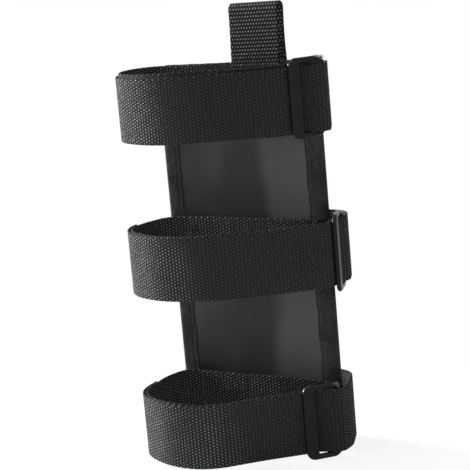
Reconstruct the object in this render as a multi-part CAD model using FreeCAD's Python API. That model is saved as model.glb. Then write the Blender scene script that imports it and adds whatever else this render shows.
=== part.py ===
import FreeCAD, Part
import math
import os
from collections import namedtuple

# Strap mount for a fire extinguisher: a stiff bound pad with three webbing
# loops in front for the cylinder, closed through three rectangular rings by
# straps that also pass behind the pad, round the bar that carries it.
# Millimetres. +Z up, -Y towards the cylinder, origin at the middle of the
# pad's lower edge.

Corner = namedtuple("Corner", "x y radius", defaults=(0.0,))
Row = namedtuple("Row", "name level drop left_side front ring_at ring_turn right_side back_run")

# Pad
pad_width = 144.0
board_thickness = 3.0
board_margin = 2.0
cover_thickness = 1.0
binding_thickness = 0.8
binding_lap = 15.0
pad_corner_radius = 8.0
window_corner_radius = 2.0

# Webbing
webbing_width = 50.0
webbing_thickness = 1.5
layer_gap = 0.15
strap_inset = 6.0
lower_margin = 5.0
row_pitch = 125.0

# Hook and loop tape, along the sewn strap's line
tape_thickness = 0.5
tape_gap = 0.1
tape_margin = 2.0
loop_tape_start = 9.0
loop_tape_end = 38.0
hook_tape_start = 16.0
hook_tape_end = 27.0
past_tape_run = 3.0
past_tape_radius = 60.0

# Rings
ring_spacing = 23.6
ring_window_play = 2.0
ring_thickness = 4.0
wide_bar = 6.5
round_bar = 4.0
cross_bar = 3.0
ring_wide_corner = 7.0
ring_round_corner = 4.5
ring_window_radius = 1.2
ring_edge = 1.1
bar_play = 0.6
ring_play = 0.3

# How the straps pass the rings
bar_lead = 4.0
under_bar_reach = 6.0
crossing_end = 2.0
past_bar = 3.0
bar_approach_radius = 9.0
crossing_radius = 6.0
lap_reach = 6.0
free_end_back = 13.0

# Rear run and seam
back_seam_start = -36.0
back_seam_length = 26.0
back_seam_radius = 12.0

# Carry handle
handle_width = 45.0
handle_left = -1.0
handle_rise = 45.0
handle_seam = 30.0

pad_height = lower_margin + 2 * row_pitch + webbing_width
core_half = board_thickness / 2 + cover_thickness
pad_half = core_half + binding_thickness
base_line = -pad_half - webbing_thickness / 2
back_line = pad_half + webbing_thickness / 2
seam_end = pad_width / 2 - strap_inset
shortest_run = 1e-5
loop_face = webbing_thickness / 2 + tape_gap
hook_face = loop_face + tape_thickness + tape_gap
tail_shift = hook_face + tape_thickness + tape_gap + webbing_thickness / 2

# Each row's loop, seen from above and placed from the pad's left and right edges:
# how the sewn strap turns down the left side and across the front, where the
# ring's wide bar stands and which way its round bar lies from there, in degrees
# from +X, and how the closing strap goes on round the right side and behind the
# pad. The top closing strap sits lower.
left = -pad_width / 2
right = pad_width / 2
left_edge = Corner(left, base_line, 14)
rows = [
    Row(name="bottom", level=lower_margin, drop=0.0,
        left_side=[left_edge, Corner(left - 5, -28, 55)],
        front=[Corner(left + 2, -75, 22), Corner(left + 28, -88, 60), Corner(0, -88, 60)],
        ring_at=(right - 12, -35.3), ring_turn=48.0,
        right_side=[Corner(right + 10, -7, 28), Corner(right - 3, 26, 22)],
        back_run=Corner(14, 34, 70)),
    Row(name="middle", level=lower_margin + row_pitch, drop=0.0,
        left_side=[left_edge, Corner(left - 9, -28, 50)],
        front=[Corner(left - 3, -66, 22), Corner(left + 28, -79.5, 60), Corner(2, -77.5, 60)],
        ring_at=(right + 10.4, -11.0), ring_turn=109.0,
        right_side=[Corner(right - 2, 34, 15)],
        back_run=Corner(14, 36, 70)),
    Row(name="top", level=lower_margin + 2 * row_pitch, drop=3.0,
        left_side=[left_edge, Corner(left - 10, -28, 40)],
        front=[Corner(left - 4, -62, 22), Corner(left + 28, -71.5, 60), Corner(0, -71.5, 60)],
        ring_at=(right - 6, -29.8), ring_turn=61.5,
        right_side=[Corner(right + 8, -2, 20), Corner(right - 6, 26, 20)],
        back_run=Corner(14, 33, 70)),
]


def heading(start, end):
    """Unit vector from one corner to the next."""
    run = FreeCAD.Vector(end.x - start.x, end.y - start.y, 0)
    return run / run.Length


def right_of(direction):
    return FreeCAD.Vector(direction.y, -direction.x, 0)


def turn_sign(before, after):
    return 1.0 if before.cross(after).z >= 0 else -1.0


def shifted(path, shift):
    """Path moved sideways, to the right of its travel."""
    runs = [heading(a, b) for a, b in zip(path, path[1:])]
    moved = []
    for index, corner in enumerate(path):
        before = runs[max(index - 1, 0)]
        after = runs[min(index, len(runs) - 1)]
        mitre = (right_of(before) + right_of(after)) / (1 + before.dot(after))
        radius = corner.radius
        if radius:
            radius += turn_sign(before, after) * shift
        moved.append(Corner(corner.x + mitre.x * shift, corner.y + mitre.y * shift, radius))
    return moved


def straight_run(start, end):
    """A line, or nothing where two arcs meet."""
    return [Part.makeLine(start, end)] if start.distanceToPoint(end) > shortest_run else []


def path_edges(path):
    """Straight runs joined by tangent arcs."""
    edges = []
    here = FreeCAD.Vector(path[0].x, path[0].y, 0)
    for previous, corner, following in zip(path, path[1:], path[2:]):
        before = heading(previous, corner)
        after = heading(corner, following)
        point = FreeCAD.Vector(corner.x, corner.y, 0)
        reach = corner.radius * math.tan(before.getAngle(after) / 2)
        arc_start = point - before * reach
        arc_end = point + after * reach
        side = right_of(before) * -turn_sign(before, after)
        centre = arc_start + side * corner.radius
        arc_middle = centre + (point - centre).normalize() * corner.radius
        edges += straight_run(here, arc_start)
        edges.append(Part.Arc(arc_start, arc_middle, arc_end).toShape())
        here = arc_end
    return edges + straight_run(here, FreeCAD.Vector(path[-1].x, path[-1].y, 0))


def band(path, near, far, level, width):
    """Upright band of cloth between two shifts of one path."""
    near_path = shifted(path, near)
    far_path = shifted(path, far)
    edges = path_edges(near_path) + path_edges(far_path)
    for a, b in ((near_path[0], far_path[0]), (near_path[-1], far_path[-1])):
        edges.append(Part.makeLine(FreeCAD.Vector(a.x, a.y, 0), FreeCAD.Vector(b.x, b.y, 0)))
    face = Part.Face(Part.Wire(Part.sortEdges(edges)[0]))
    face.translate(FreeCAD.Vector(0, 0, level))
    return face.extrude(FreeCAD.Vector(0, 0, width))


def webbing(path, level, width=webbing_width):
    return band(path, -webbing_thickness / 2, webbing_thickness / 2, level, width)


def along(start, end, distance, radius=0.0):
    """Corner on the line from one corner towards another."""
    step = heading(start, end) * distance
    return Corner(start.x + step.x, start.y + step.y, radius)


# Straps and ring, placed from the wide bar of each row's ring. Distances along
# the ring run from its wide bar to its round bar, outward ones away from the pad.
layer_step = webbing_thickness + layer_gap
loop_under_bar = -(ring_thickness / 2 + ring_play + webbing_thickness / 2 + layer_step)
wrap_radius = round_bar / 2 + bar_play + webbing_thickness / 2
over_bar = wrap_radius + layer_step


def ring_frame(row):
    """Wide bar's place, direction along the ring and outward direction."""
    turn = math.radians(row.ring_turn)
    direction = FreeCAD.Vector(math.cos(turn), math.sin(turn), 0)
    return FreeCAD.Vector(*row.ring_at, 0), direction, right_of(direction)


def ring_corner(row, along_ring, outward, radius=0.0):
    place, direction, outside = ring_frame(row)
    point = place + direction * along_ring + outside * outward
    return Corner(point.x, point.y, radius)


def through_ring(row):
    """The sewn strap's way under the wide bar and out over the round bar."""
    return [
        ring_corner(row, -bar_lead, loop_under_bar, bar_approach_radius),
        ring_corner(row, under_bar_reach, loop_under_bar, crossing_radius),
        ring_corner(row, ring_spacing - crossing_end, wrap_radius, crossing_radius),
    ]


def loop_strap_path(row):
    """The sewn strap, ending in a lap round the ring's round bar."""
    far_side = ring_spacing + wrap_radius
    crossing_run = ring_spacing - crossing_end - under_bar_reach
    slope = math.atan2(wrap_radius - loop_under_bar, crossing_run)
    # the end comes back level with the bar until it meets the strap's inner
    # face, then lies along it
    stack = layer_step / math.cos(slope)
    meeting = under_bar_reach + (stack - wrap_radius - loop_under_bar) / math.tan(slope)
    lap_end = loop_under_bar + (lap_reach - under_bar_reach) * math.tan(slope) - stack
    return [Corner(seam_end, base_line)] + row.left_side + row.front + through_ring(row) + [
        ring_corner(row, far_side, wrap_radius, wrap_radius),
        ring_corner(row, far_side, -wrap_radius, wrap_radius),
        ring_corner(row, meeting, -wrap_radius, crossing_radius),
        ring_corner(row, lap_reach, lap_end),
    ]


def closing_strap_path(row):
    """The closing strap: end on the front, through the ring, round behind."""
    ring_way = through_ring(row)
    start = along(row.left_side[-1], row.front[0], free_end_back)
    past_tape = along(row.front[-1], ring_way[0], hook_tape_end + past_tape_run, past_tape_radius)
    front = shifted([start] + row.front + [past_tape, ring_way[0]], tail_shift)[:-1]
    over_ring = ring_corner(row, ring_spacing + past_bar, wrap_radius)
    over_loop = shifted([past_tape] + ring_way + [over_ring], layer_step)[1:-1]
    round_bar_turn = ring_corner(row, ring_spacing + past_bar, over_bar, over_bar)
    return front + over_loop + [round_bar_turn] + row.right_side + [
        row.back_run,
        Corner(back_seam_start, back_line, back_seam_radius),
        Corner(back_seam_start - back_seam_length, back_line),
    ]


def front_strap(row):
    return webbing(loop_strap_path(row), row.level)


def closing_strap(row):
    return webbing(closing_strap_path(row), row.level - row.drop)


def tape_path(row, from_side, past_front):
    """Part of the sewn strap's line that a tape covers."""
    start = along(row.left_side[-1], row.front[0], from_side)
    end = along(row.front[-1], ring_corner(row, -bar_lead, loop_under_bar), past_front)
    return [start] + row.front + [end]


def loop_tape(row):
    path = tape_path(row, loop_tape_start, loop_tape_end)
    width = webbing_width - 2 * tape_margin
    return band(path, loop_face, loop_face + tape_thickness, row.level + tape_margin, width)


def hook_tape(row):
    path = tape_path(row, hook_tape_start, hook_tape_end)
    width = webbing_width - 2 * tape_margin
    level = row.level - row.drop + tape_margin
    return band(path, hook_face, hook_face + tape_thickness, level, width)


def rounded_plate(left, right, bottom, top, radii, back, front):
    """Upright plate between two Y planes, with its left and right corner radii."""
    plate = Part.makeBox(right - left, back - front, top - bottom, FreeCAD.Vector(left, front, bottom))
    for side, radius in zip((left, right), radii):
        corners = [edge for edge in plate.Edges
                   if edge.BoundBox.YLength > (back - front) / 2 and abs(edge.CenterOfMass.x - side) < radius / 2]
        plate = plate.makeFillet(radius, corners)
    return plate


def ring(row):
    """Moulded ring: a wide bar outside, a round bar in the strap's lap."""
    half_window = webbing_width / 2 + ring_window_play
    half_height = half_window + cross_bar
    half_depth = ring_thickness / 2
    body = rounded_plate(-wide_bar / 2, ring_spacing + round_bar / 2, -half_height, half_height,
                         (ring_wide_corner, ring_round_corner), half_depth, -half_depth)
    window = rounded_plate(wide_bar / 2, ring_spacing - round_bar / 2, -half_window, half_window,
                           (ring_window_radius, ring_window_radius), half_depth, -half_depth)
    frame = body.cut(window)
    rims = [edge for edge in frame.Edges if edge.BoundBox.YLength < ring_edge]
    frame = frame.makeChamfer(ring_edge, rims)
    frame.rotate(FreeCAD.Vector(0, 0, 0), FreeCAD.Vector(0, 0, 1), row.ring_turn)
    middle = row.level - row.drop / 2 + webbing_width / 2
    frame.translate(FreeCAD.Vector(*row.ring_at, middle))
    return frame


# Pad
def pad_plate(margin, radius, back, front):
    """Plate of the pad's outline, in from its edge by a margin."""
    half = pad_width / 2 - margin
    return rounded_plate(-half, half, margin, pad_height - margin, (radius, radius), back, front)


def pad_board():
    margin = binding_thickness + board_margin
    return pad_plate(margin, pad_corner_radius - margin, board_thickness / 2, -board_thickness / 2)


def pad_face():
    margin = binding_thickness
    return pad_plate(margin, pad_corner_radius - margin, -board_thickness / 2, -core_half)


def pad_back():
    margin = binding_thickness
    return pad_plate(margin, pad_corner_radius - margin, core_half, board_thickness / 2)


def pad_binding():
    """Tape folded over all four edges of the pad."""
    margin = binding_thickness
    outside = pad_plate(0, pad_corner_radius, pad_half, -pad_half)
    core = pad_plate(margin, pad_corner_radius - margin, core_half, -core_half)
    window = pad_plate(binding_lap, window_corner_radius, pad_half, -pad_half)
    return outside.cut(core).cut(window)


def carry_handle():
    """Webbing loop over the pad's top edge, sewn down in front and behind."""
    front = base_line - webbing_thickness
    low = pad_height - handle_seam
    high = pad_height + handle_rise - webbing_thickness / 2
    radius = (back_line - front) / 2 - layer_gap
    path = [Corner(back_line, low), Corner(back_line, high, radius),
            Corner(front, high, radius), Corner(front, low)]
    loop = webbing(path, 0, handle_width)
    # the path was drawn in a Y-Z plane: turn X, Y, Z into Y, Z, X
    loop.rotate(FreeCAD.Vector(0, 0, 0), FreeCAD.Vector(1, 1, 1), 120)
    loop.translate(FreeCAD.Vector(handle_left, 0, 0))
    return loop


def main():
    nodes = {
        "pad_board": pad_board(),
        "pad_face": pad_face(),
        "pad_back": pad_back(),
        "pad_binding": pad_binding(),
        "carry_handle": carry_handle(),
    }
    for row in rows:
        nodes["front_strap_" + row.name] = front_strap(row)
        nodes["closing_strap_" + row.name] = closing_strap(row)
        nodes["loop_tape_" + row.name] = loop_tape(row)
        nodes["hook_tape_" + row.name] = hook_tape(row)
        nodes["ring_" + row.name] = ring(row)
    os.makedirs("parts", exist_ok=True)
    for name, shape in nodes.items():
        shape.exportStep(os.path.join("parts", name + ".step"))
        print(name, "valid", shape.isValid(), "solids", len(shape.Solids), "cm3", round(shape.Volume / 1000, 2))


main()
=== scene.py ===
import logging
import math
from dataclasses import dataclass, field
from enum import Enum
from functools import reduce

import bpy
import numpy as np
from mathutils import Matrix, Vector


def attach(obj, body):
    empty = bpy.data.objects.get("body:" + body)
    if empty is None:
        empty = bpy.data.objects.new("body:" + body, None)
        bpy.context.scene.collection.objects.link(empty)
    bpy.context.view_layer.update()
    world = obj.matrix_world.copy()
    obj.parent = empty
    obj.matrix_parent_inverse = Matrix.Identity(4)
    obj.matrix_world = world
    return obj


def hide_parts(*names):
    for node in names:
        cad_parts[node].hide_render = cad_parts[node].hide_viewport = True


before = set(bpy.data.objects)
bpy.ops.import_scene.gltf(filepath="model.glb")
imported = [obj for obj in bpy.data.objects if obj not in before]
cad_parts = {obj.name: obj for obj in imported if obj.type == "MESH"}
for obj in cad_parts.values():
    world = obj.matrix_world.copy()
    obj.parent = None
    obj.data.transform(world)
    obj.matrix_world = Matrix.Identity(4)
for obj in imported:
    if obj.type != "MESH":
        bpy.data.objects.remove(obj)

# A strap mount for a fire extinguisher. Lengths are in millimetres until a mesh is made, and MM turns
# them into metres. The straps' lines are drawn as the solids' are: corners joined by tangent arcs.
MM = 0.001
TIGHT_RADIUS = 8.0
log = logging.getLogger("strap_mount")

Colour = tuple[float, float, float, float]
Socket = bpy.types.NodeSocket
Given = Socket | float | int | bool | str | tuple[float, ...]


class Body(Enum):
    """The bodies that pieces ride on."""

    HOLDER = "holder"
    BOTTOM_RING = "bottom_ring"
    MIDDLE_RING = "middle_ring"
    TOP_RING = "top_ring"


class Slot(Enum):
    """The record's material slots."""

    VINYL = "vinyl"
    BINDING = "binding"
    WEBBING = "webbing"
    TAPE = "tape"
    RING = "ring"


class Plane(Enum):
    """The plane that a strip's line is drawn in, and so the way its width runs."""

    PLAN = (0, 1, 2)
    PROFILE = (2, 0, 1)


class Side(Enum):
    """A face of a strip: right or left of the way that its line runs."""

    RIGHT = 1.0
    LEFT = -1.0


# Lines and paths
@dataclass(frozen=True)
class Corner:
    """A corner of a strip's line, rounded with a radius."""

    x: float
    y: float
    radius: float = 0.0

    def vector(self) -> Vector:
        """The corner as a flat vector."""
        return Vector((self.x, self.y))


def heading(start: Corner, end: Corner) -> Vector:
    """Unit vector from one corner to the next."""
    return (end.vector() - start.vector()).normalized()


def right_of(direction: Vector) -> Vector:
    """The direction to the right of a travel."""
    return Vector((direction.y, -direction.x))


def along(start: Corner, end: Corner, distance: float, radius: float = 0.0) -> Corner:
    """Corner on the line from one corner towards another."""
    place_on = start.vector() + heading(start, end) * distance
    return Corner(place_on.x, place_on.y, radius)


def shifted(path: list[Corner], shift: float) -> list[Corner]:
    """A path moved sideways, to the right of its travel.

    Args:
        path: the corners of the path.
        shift: how far it moves, in millimetres.

    Returns:
        The moved corners, with their radii grown or shrunk to match.
    """
    runs = [heading(a, b) for a, b in zip(path, path[1:])]
    moved = []
    for index, corner in enumerate(path):
        before = runs[max(index - 1, 0)]
        after = runs[min(index, len(runs) - 1)]
        mitre = (right_of(before) + right_of(after)) / (1.0 + before.dot(after))
        radius = corner.radius
        if radius:
            radius += math.copysign(shift, before.cross(after))
        spot = corner.vector() + mitre * shift
        moved.append(Corner(spot.x, spot.y, radius))
    return moved


@dataclass(frozen=True)
class Run:
    """A straight run or an arc of a line.

    A straight run goes from its anchor by its reach. An arc turns its reach about its anchor.
    """

    start: float
    length: float
    anchor: Vector
    reach: Vector
    turn: float
    direction: Vector


class Line:
    """Straight runs joined by tangent arcs, walked by distance."""

    def __init__(self, corners: list[Corner]) -> None:
        """Works out the runs and arcs.

        Args:
            corners: the line's corners, in order.
        """
        self.runs: list[Run] = []
        self.length = 0.0
        self.tight: list[tuple[float, float]] = []
        here = corners[0].vector()
        for previous, corner, following in zip(corners, corners[1:], corners[2:]):
            before = heading(previous, corner)
            after = heading(corner, following)
            turn = -before.angle_signed(after)
            reach = corner.radius * math.tan(abs(turn) / 2)
            arc_start = corner.vector() - before * reach
            self._straight(here, arc_start)
            centre = arc_start - right_of(before) * math.copysign(corner.radius, turn)
            arc = Run(self.length, corner.radius * abs(turn), centre, arc_start - centre, turn, before)
            if corner.radius < TIGHT_RADIUS:
                self.tight.append((arc.start, arc.start + arc.length))
            self.runs.append(arc)
            self.length += arc.length
            here = corner.vector() + after * reach
        self._straight(here, corners[-1].vector())

    def _straight(self, start: Vector, end: Vector) -> None:
        """Adds a straight run.

        Args:
            start: where it starts.
            end: where it ends.
        """
        way = end - start
        if way.length > 1e-5:
            self.runs.append(Run(self.length, way.length, start, way, 0.0, way.normalized()))
            self.length += way.length

    def at(self, distance: float) -> tuple[Vector, Vector]:
        """Place and direction at a distance.

        Args:
            distance: how far along the line, in millimetres.

        Returns:
            The place and the unit direction of travel there.
        """
        run = self.runs[0]
        for candidate in self.runs:
            if candidate.start > distance:
                break
            run = candidate
        share = min(max((distance - run.start) / run.length, 0.0), 1.0) if run.length else 0.0
        if run.turn == 0.0:
            return run.anchor + run.reach * share, run.direction
        spin = Matrix.Rotation(run.turn * share, 2)
        return run.anchor + spin @ run.reach, spin @ run.direction

    def stations(self, step: float) -> list[float]:
        """Distances along the line, closer together in tight arcs.

        Args:
            step: how far apart they are elsewhere.

        Returns:
            The distances, in order.
        """
        count = max(2, round(self.length / step))
        even = [self.length * index / count for index in range(count + 1)]
        halves = [(a + b) / 2 for a, b in zip(even, even[1:])]
        extra = [half for half in halves if any(low - step < half < high + step for low, high in self.tight)]
        return sorted(even + extra)

    def near(self, target: Vector) -> float:
        """Distance along the line of the point that lies nearest to a place."""
        steps = np.arange(0.0, self.length, 0.5)
        return min(steps, key=lambda distance: (self.at(distance)[0] - target).length)


# Node trees
class Nodes:
    """A short way to add nodes to a tree and link them."""

    def __init__(self, tree: bpy.types.NodeTree) -> None:
        """Keeps the tree that the nodes go into."""
        self.tree = tree

    def add(self, kind: str, inputs: dict[str | int, Given] | None = None,
            **settings: object) -> bpy.types.Node:
        """Adds a node.

        Args:
            kind: the node's type name.
            inputs: input name or index to a value or to a socket to link.
            settings: the node's own properties.

        Returns:
            The new node.
        """
        node = self.tree.nodes.new(kind)
        for name, value in settings.items():
            setattr(node, name, value)
        for name, value in (inputs or {}).items():
            self.feed(node.inputs[name], value)
        return node

    def feed(self, socket: Socket, value: Given) -> None:
        """Feeds an input.

        Args:
            socket: the input.
            value: an output to link to it, or the value to set.
        """
        if isinstance(value, Socket):
            self.tree.links.new(value, socket)
        else:
            socket.default_value = value

    def math(self, operation: str, *values: Given, clamp: bool = False) -> Socket:
        """A math node's result."""
        node = self.add("ShaderNodeMath", dict(enumerate(values)), operation=operation, use_clamp=clamp)
        return node.outputs[0]

    def times(self, *factors: Given) -> Socket:
        """The product of some values."""
        return reduce(lambda so_far, factor: self.math("MULTIPLY", so_far, factor), factors)

    def plus(self, *terms: Given) -> Socket:
        """The sum of some values."""
        return reduce(lambda so_far, term: self.math("ADD", so_far, term), terms)

    def ramp(self, value: Given, low: float, high: float, to_low: float = 0.0,
             to_high: float = 1.0) -> Socket:
        """A value carried smoothly from one range to another."""
        values = {0: value, 1: low, 2: high, 3: to_low, 4: to_high}
        return self.add("ShaderNodeMapRange", values, interpolation_type="SMOOTHSTEP").outputs[0]

    def blend(self, factor: Given, dark: Given, light: Given) -> Socket:
        """A mix of two colours.

        Args:
            factor: 0 for the dark one, 1 for the light one.
            dark: the first colour.
            light: the second colour.

        Returns:
            The mixed colour.
        """
        node = self.add("ShaderNodeMix", {0: factor}, data_type="RGBA")
        self.feed(node.inputs[6], dark)
        self.feed(node.inputs[7], light)
        return node.outputs[2]

    def noise(self, vector: Socket, scale: float, detail: float = 3.0, roughness: float = 0.5) -> Socket:
        """Noise between 0 and 1."""
        values = {"Vector": vector, "Scale": scale, "Detail": detail, "Roughness": roughness}
        return self.add("ShaderNodeTexNoise", values).outputs["Fac"]

    def measure(self, name: str) -> Socket:
        """A number that the mesh holds at each point."""
        return self.add("ShaderNodeAttribute", attribute_name=name).outputs["Fac"]


def grey(level: float, blue: float = 0.0) -> Colour:
    """A grey with a little blue in it."""
    return (level, level * (1 + blue / 2), level * (1 + blue), 1.0)


def group(name: str, inputs: dict[str, float | Colour | None], outputs: dict[str, str]) -> tuple:
    """A new shader node group with its sockets.

    Args:
        name: the group's name.
        inputs: input names with their values; None is a vector.
        outputs: output names with their socket types, such as Color.

    Returns:
        The group, its Nodes, its inputs to read and its outputs to feed.
    """
    tree = bpy.data.node_groups.new(name, "ShaderNodeTree")
    for label, value in inputs.items():
        kind = "Vector" if value is None else "Float" if isinstance(value, float) else "Color"
        socket = tree.interface.new_socket(label, in_out="INPUT", socket_type="NodeSocket" + kind)
        if value is not None:
            socket.default_value = value
    for label, kind in outputs.items():
        tree.interface.new_socket(label, in_out="OUTPUT", socket_type="NodeSocket" + kind)
    nodes = Nodes(tree)
    return tree, nodes, nodes.add("NodeGroupInput").outputs, nodes.add("NodeGroupOutput").inputs


def grain_relief(nodes: Nodes, run: Socket, rise: Socket, length: Socket, pitch: Socket) -> Socket:
    """The height of staggered round grains, in a shader or a geometry tree.

    Args:
        nodes: the tree that it is built in.
        run: the place along the strap.
        rise: the place across the strap.
        length: the distance between two grains of one line.
        pitch: the distance between two lines that aren't staggered.

    Returns:
        A height from about -0.65 between the grains to 1.35 on their crests.
    """
    column = nodes.math("COSINE", nodes.times(nodes.math("DIVIDE", run, length), math.tau))
    row = nodes.math("COSINE", nodes.times(nodes.math("DIVIDE", rise, pitch), math.tau))
    rib = nodes.times(column, column)
    grains = nodes.times(column, row, nodes.ramp(rib, 0.0, 1.0, 0.3, 1.0))
    return nodes.plus(grains, nodes.ramp(rib, 0.0, 1.0, -0.35, 0.35))


def weave_group() -> bpy.types.NodeTree:
    """The staggered grains of heavy webbing, from a strip's own measures along, across and edge.

    Returns:
        A group that puts out colour, roughness, height and gloss.
    """
    tree, nodes, given, result = group(
        "Webbing weave",
        {"Grain length": 5.6, "Grain pitch": 2.45, "Gap": grey(0.01), "Yarn": grey(0.05), "Crest": grey(0.1)},
        {"Color": "Color", "Roughness": "Float", "Height": "Float", "Gloss": "Float"})
    run, rise, edge = (nodes.measure(name) for name in ("along", "across", "edge"))
    spot = nodes.add("ShaderNodeTexCoord").outputs["Object"]
    drift = nodes.times(nodes.math("SUBTRACT", nodes.noise(spot, 420.0, 2.0), 0.5), 0.5)
    relief = grain_relief(nodes, nodes.plus(run, drift), rise, given["Grain length"], given["Grain pitch"])
    grain = nodes.ramp(relief, -0.6, 0.9)
    crest = nodes.times(nodes.ramp(relief, 0.3, 1.2), nodes.ramp(edge, 0.0, 1.0, 1.0, 0.0))
    fuzz = nodes.noise(spot, 2600.0, 2.0, 0.7)
    patch = nodes.noise(spot, 55.0, 3.0)
    lit = nodes.times(crest, nodes.ramp(fuzz, 0.3, 0.75, 0.35, 1.15))
    lit = nodes.math("MULTIPLY", lit, nodes.ramp(patch, 0.3, 0.7, 0.6, 1.1), clamp=True)
    colour = nodes.blend(lit, nodes.blend(grain, given["Gap"], given["Yarn"]), given["Crest"])
    nodes.feed(result["Color"], colour)
    polish = nodes.plus(crest, nodes.times(fuzz, 0.4))
    nodes.feed(result["Roughness"], nodes.ramp(polish, 0.0, 1.4, 0.8, 0.46))
    nodes.feed(result["Gloss"], nodes.times(crest, nodes.ramp(fuzz, 0.25, 0.75, 0.5, 1.0)))
    # The yarns' single filaments slant across the grains.
    slant = nodes.plus(rise, nodes.times(run, 0.22))
    filaments = nodes.math("SINE", nodes.times(slant, math.tau / 0.33))
    height = nodes.plus(nodes.times(grain, 0.7), nodes.times(filaments, grain, 0.16), nodes.times(fuzz, 0.22))
    nodes.feed(result["Height"], height)
    return tree


def fibre_group() -> bpy.types.NodeTree:
    """The loose fibres and unevenness that every cloth piece shows.

    Returns:
        A group that puts out a colour and a height.
    """
    tree, nodes, given, result = group(
        "Cloth fibres", {"Vector": None, "Scale": 1.0, "Dark": grey(0.01), "Light": grey(0.04)},
        {"Color": "Color", "Height": "Float"})
    scaling = {0: given["Vector"], "Scale": given["Scale"]}
    scaled = nodes.add("ShaderNodeVectorMath", scaling, operation="SCALE").outputs[0]
    fine = nodes.noise(scaled, 1900.0, 2.0, 0.7)
    broad = nodes.noise(scaled, 90.0, 4.0)
    mask = nodes.ramp(nodes.plus(nodes.times(fine, 0.6), nodes.times(broad, 0.4)), 0.35, 0.68)
    nodes.feed(result["Color"], nodes.blend(mask, given["Dark"], given["Light"]))
    nodes.feed(result["Height"], nodes.plus(fine, nodes.times(broad, 0.5)))
    return tree


class Groups:
    """The shader groups that several finishes share, each built once."""

    def __init__(self) -> None:
        """Builds the groups."""
        self.weave = weave_group()
        self.fibres = fibre_group()


# Finishes
class Surface:
    """A new material with its Principled shader, bump and object coordinates at hand."""

    def __init__(self, name: str, roughness: float, **constants: float) -> None:
        """Makes the material.

        Args:
            name: the material's name.
            roughness: the shader's roughness where nothing else drives it.
            constants: values set on the shader's own sockets, with _ for a space.
        """
        self.material = bpy.data.materials.new(name)
        self.material.use_nodes = True
        tree = self.material.node_tree
        self.shader = tree.nodes["Principled BSDF"]
        self.nodes = Nodes(tree)
        self.shader.inputs["Roughness"].default_value = roughness
        for label, value in constants.items():
            self.shader.inputs[label.replace("_", " ")].default_value = value
        self.place = self.nodes.add("ShaderNodeTexCoord").outputs["Object"]

    def feed(self, label: str, value: Given) -> None:
        """Feeds one of the shader's inputs."""
        self.nodes.feed(self.shader.inputs[label], value)

    def bump(self, height: Socket, distance: float, strength: float = 1.0) -> None:
        """Feeds the normal from a height, with the distance in millimetres."""
        values = {"Height": height, "Distance": distance * MM, "Strength": strength}
        self.feed("Normal", self.nodes.add("ShaderNodeBump", values).outputs[0])

    def use(self, tree: bpy.types.NodeTree, inputs: dict[str, Given]) -> bpy.types.NodeOutputs:
        """Places a shared group.

        Args:
            tree: the group.
            inputs: its inputs' names with what feeds them.

        Returns:
            Its outputs.
        """
        node = self.nodes.add("ShaderNodeGroup", node_tree=tree)
        for label, value in inputs.items():
            self.nodes.feed(node.inputs[label], value)
        return node.outputs

    def fibres(self, groups: Groups, scale: float, dark: float, light: float) -> bpy.types.NodeOutputs:
        """Places the fibres, with two greys."""
        values = {"Vector": self.place, "Scale": scale, "Dark": grey(dark), "Light": grey(light)}
        return self.use(groups.fibres, values)


@dataclass(frozen=True)
class WebbingFinish:
    """Black polyester webbing, its grain crests painted pale on the left of the loops as a painted highlight.

    The painted highlight ends at highlight_end along X, less highlight_lean for each metre up, within
    highlight_blend, and a noise makes its end ragged. The handle carries the painted highlight too.
    """

    gap: float = 0.023
    yarn: float = 0.036
    plain_crest: float = 0.044
    highlight_crest: float = 0.4
    relief: float = 1.5
    shine: float = 0.3
    highlight_end: float = 0.032
    highlight_lean: float = 0.18
    highlight_blend: float = 0.012
    highlight_ragged: float = 0.02

    def _highlight_share(self, surface: Surface) -> Socket:
        """How far the grains' crests take the painted highlight at a place.

        Args:
            surface: the material that it is worked out in.

        Returns:
            1 where the highlight is painted and 0 where the crests keep their plain colour.
        """
        nodes = surface.nodes
        spot = nodes.add("ShaderNodeSeparateXYZ", {"Vector": surface.place}).outputs
        # The painted highlight covers the loops' left, with a ragged end, and the handle above the pad.
        ragged = nodes.times(nodes.noise(surface.place, 45.0), self.highlight_ragged)
        reach = nodes.plus(spot["X"], nodes.times(spot["Z"], self.highlight_lean), ragged)
        loops = nodes.ramp(reach, self.highlight_end - self.highlight_blend, self.highlight_end + self.highlight_blend, 1.0, 0.0)
        handle = nodes.ramp(spot["Z"], PAD.height * MM, (PAD.height + 8) * MM)
        return nodes.math("MAXIMUM", loops, handle)

    def material(self, groups: Groups) -> bpy.types.Material:
        """Builds the material.

        Args:
            groups: the shared shader groups.

        Returns:
            The material.
        """
        surface = Surface("webbing", 0.8, Sheen_Weight=0.08, Sheen_Roughness=0.4, Specular_IOR_Level=0.0)
        # The crests are painted pale where the painted highlight falls.
        crest = surface.nodes.blend(self._highlight_share(surface), grey(self.plain_crest, 0.02), grey(self.highlight_crest, 0.02))
        weave = surface.use(groups.weave, {"Gap": grey(self.gap), "Yarn": grey(self.yarn, 0.02),
                                           "Crest": crest})
        surface.feed("Base Color", weave["Color"])
        surface.feed("Roughness", weave["Roughness"])
        shine = surface.nodes.ramp(weave["Gloss"], 0.0, 1.0, 0.0, self.shine)
        surface.feed("Specular IOR Level", shine)
        surface.bump(weave["Height"], self.relief)
        return surface.material


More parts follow.
